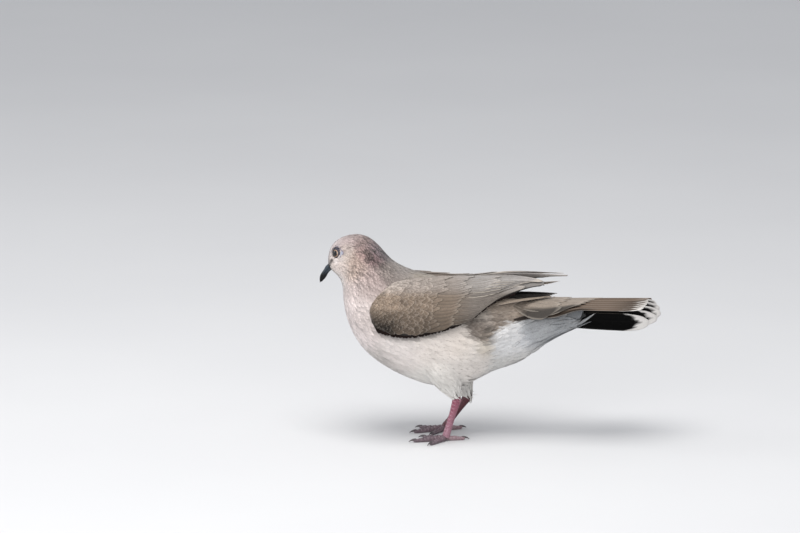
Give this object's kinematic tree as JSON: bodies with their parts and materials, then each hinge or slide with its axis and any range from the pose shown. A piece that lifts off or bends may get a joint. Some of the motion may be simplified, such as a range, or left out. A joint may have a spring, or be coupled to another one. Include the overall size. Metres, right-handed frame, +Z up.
{
  "type": "white-tipped dove",
  "caption": "Life-size still model of a small plump pigeon standing with its head turned aside, wings folded and tail held level.",
  "frame": {"origin": "middle of the bounding box at the soles", "axes": "-X the way the body faces, -Y the bird's left side, +Z up"},
  "size_m": [0.2574, 0.081, 0.1543],
  "materials": {
    "plumage": "soft contour feathers",
    "mantle": "smooth wing feathers",
    "flight": "stiff flight feathers",
    "leg": "scaly skin",
    "horn": "satin horn",
    "eye": "wet gloss"
  },
  "bodies": {
    "root": {"bill_lower": "horn", "bill_upper": "horn", "eye_left": "eye", "eye_right": "eye", "head": "plumage", "neck": "plumage", "primaries_left": "flight", "primaries_right": "flight", "shank_left": "plumage", "shank_right": "plumage", "tail": "flight", "tarsus_left": "leg", "tarsus_right": "leg", "toe_left_1": "leg", "toe_left_2": "leg", "toe_left_3": "leg", "toe_left_4": "leg", "toe_right_1": "leg", "toe_right_2": "leg", "toe_right_3": "leg", "toe_right_4": "leg", "trunk": "plumage", "wing_left": "mantle", "wing_right": "mantle"}
  },
  "joints": []
}
